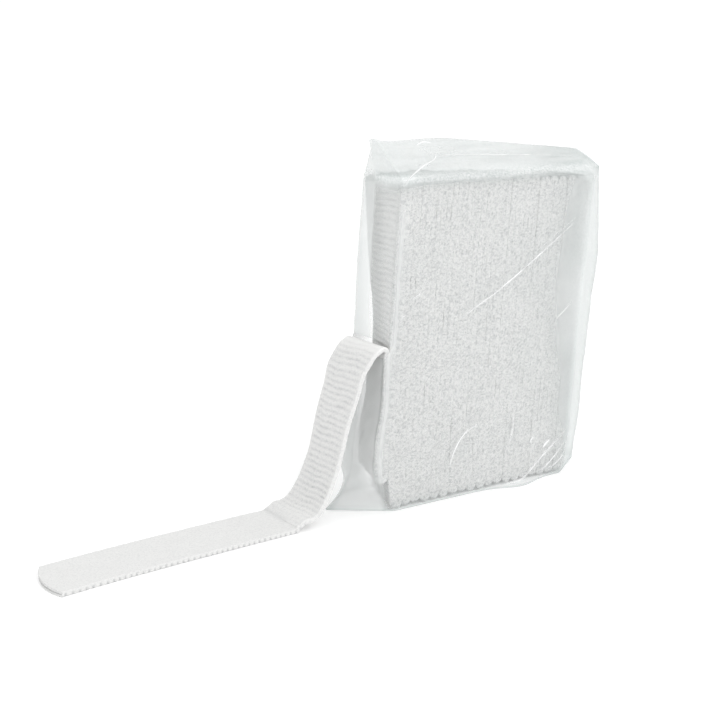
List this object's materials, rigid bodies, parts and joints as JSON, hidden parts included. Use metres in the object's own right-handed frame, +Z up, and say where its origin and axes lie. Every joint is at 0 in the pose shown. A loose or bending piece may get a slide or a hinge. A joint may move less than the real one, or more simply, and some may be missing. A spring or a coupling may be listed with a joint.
{
  "type": "tubular bandage in a clear bag",
  "caption": "Ribbed cotton finger tube folded flat into an upright stack in a clear film bag, its free end hanging out of a slit and lying in front.",
  "frame": {"origin": "on the flat underside of the bag, at floor level below the middle of the folded stack", "axes": "+Z up; X along the stacking of the layers, with the free end lying towards -X; Y along the flat width of the tube"},
  "size_m": [0.1625, 0.0233, 0.0912],
  "materials": {
    "knit": "matte white ribbed cotton knit",
    "film": "clear, thin, creased polythene film"
  },
  "bodies": {
    "root": {"bandage": "knit", "bag": "film"}
  },
  "joints": []
}
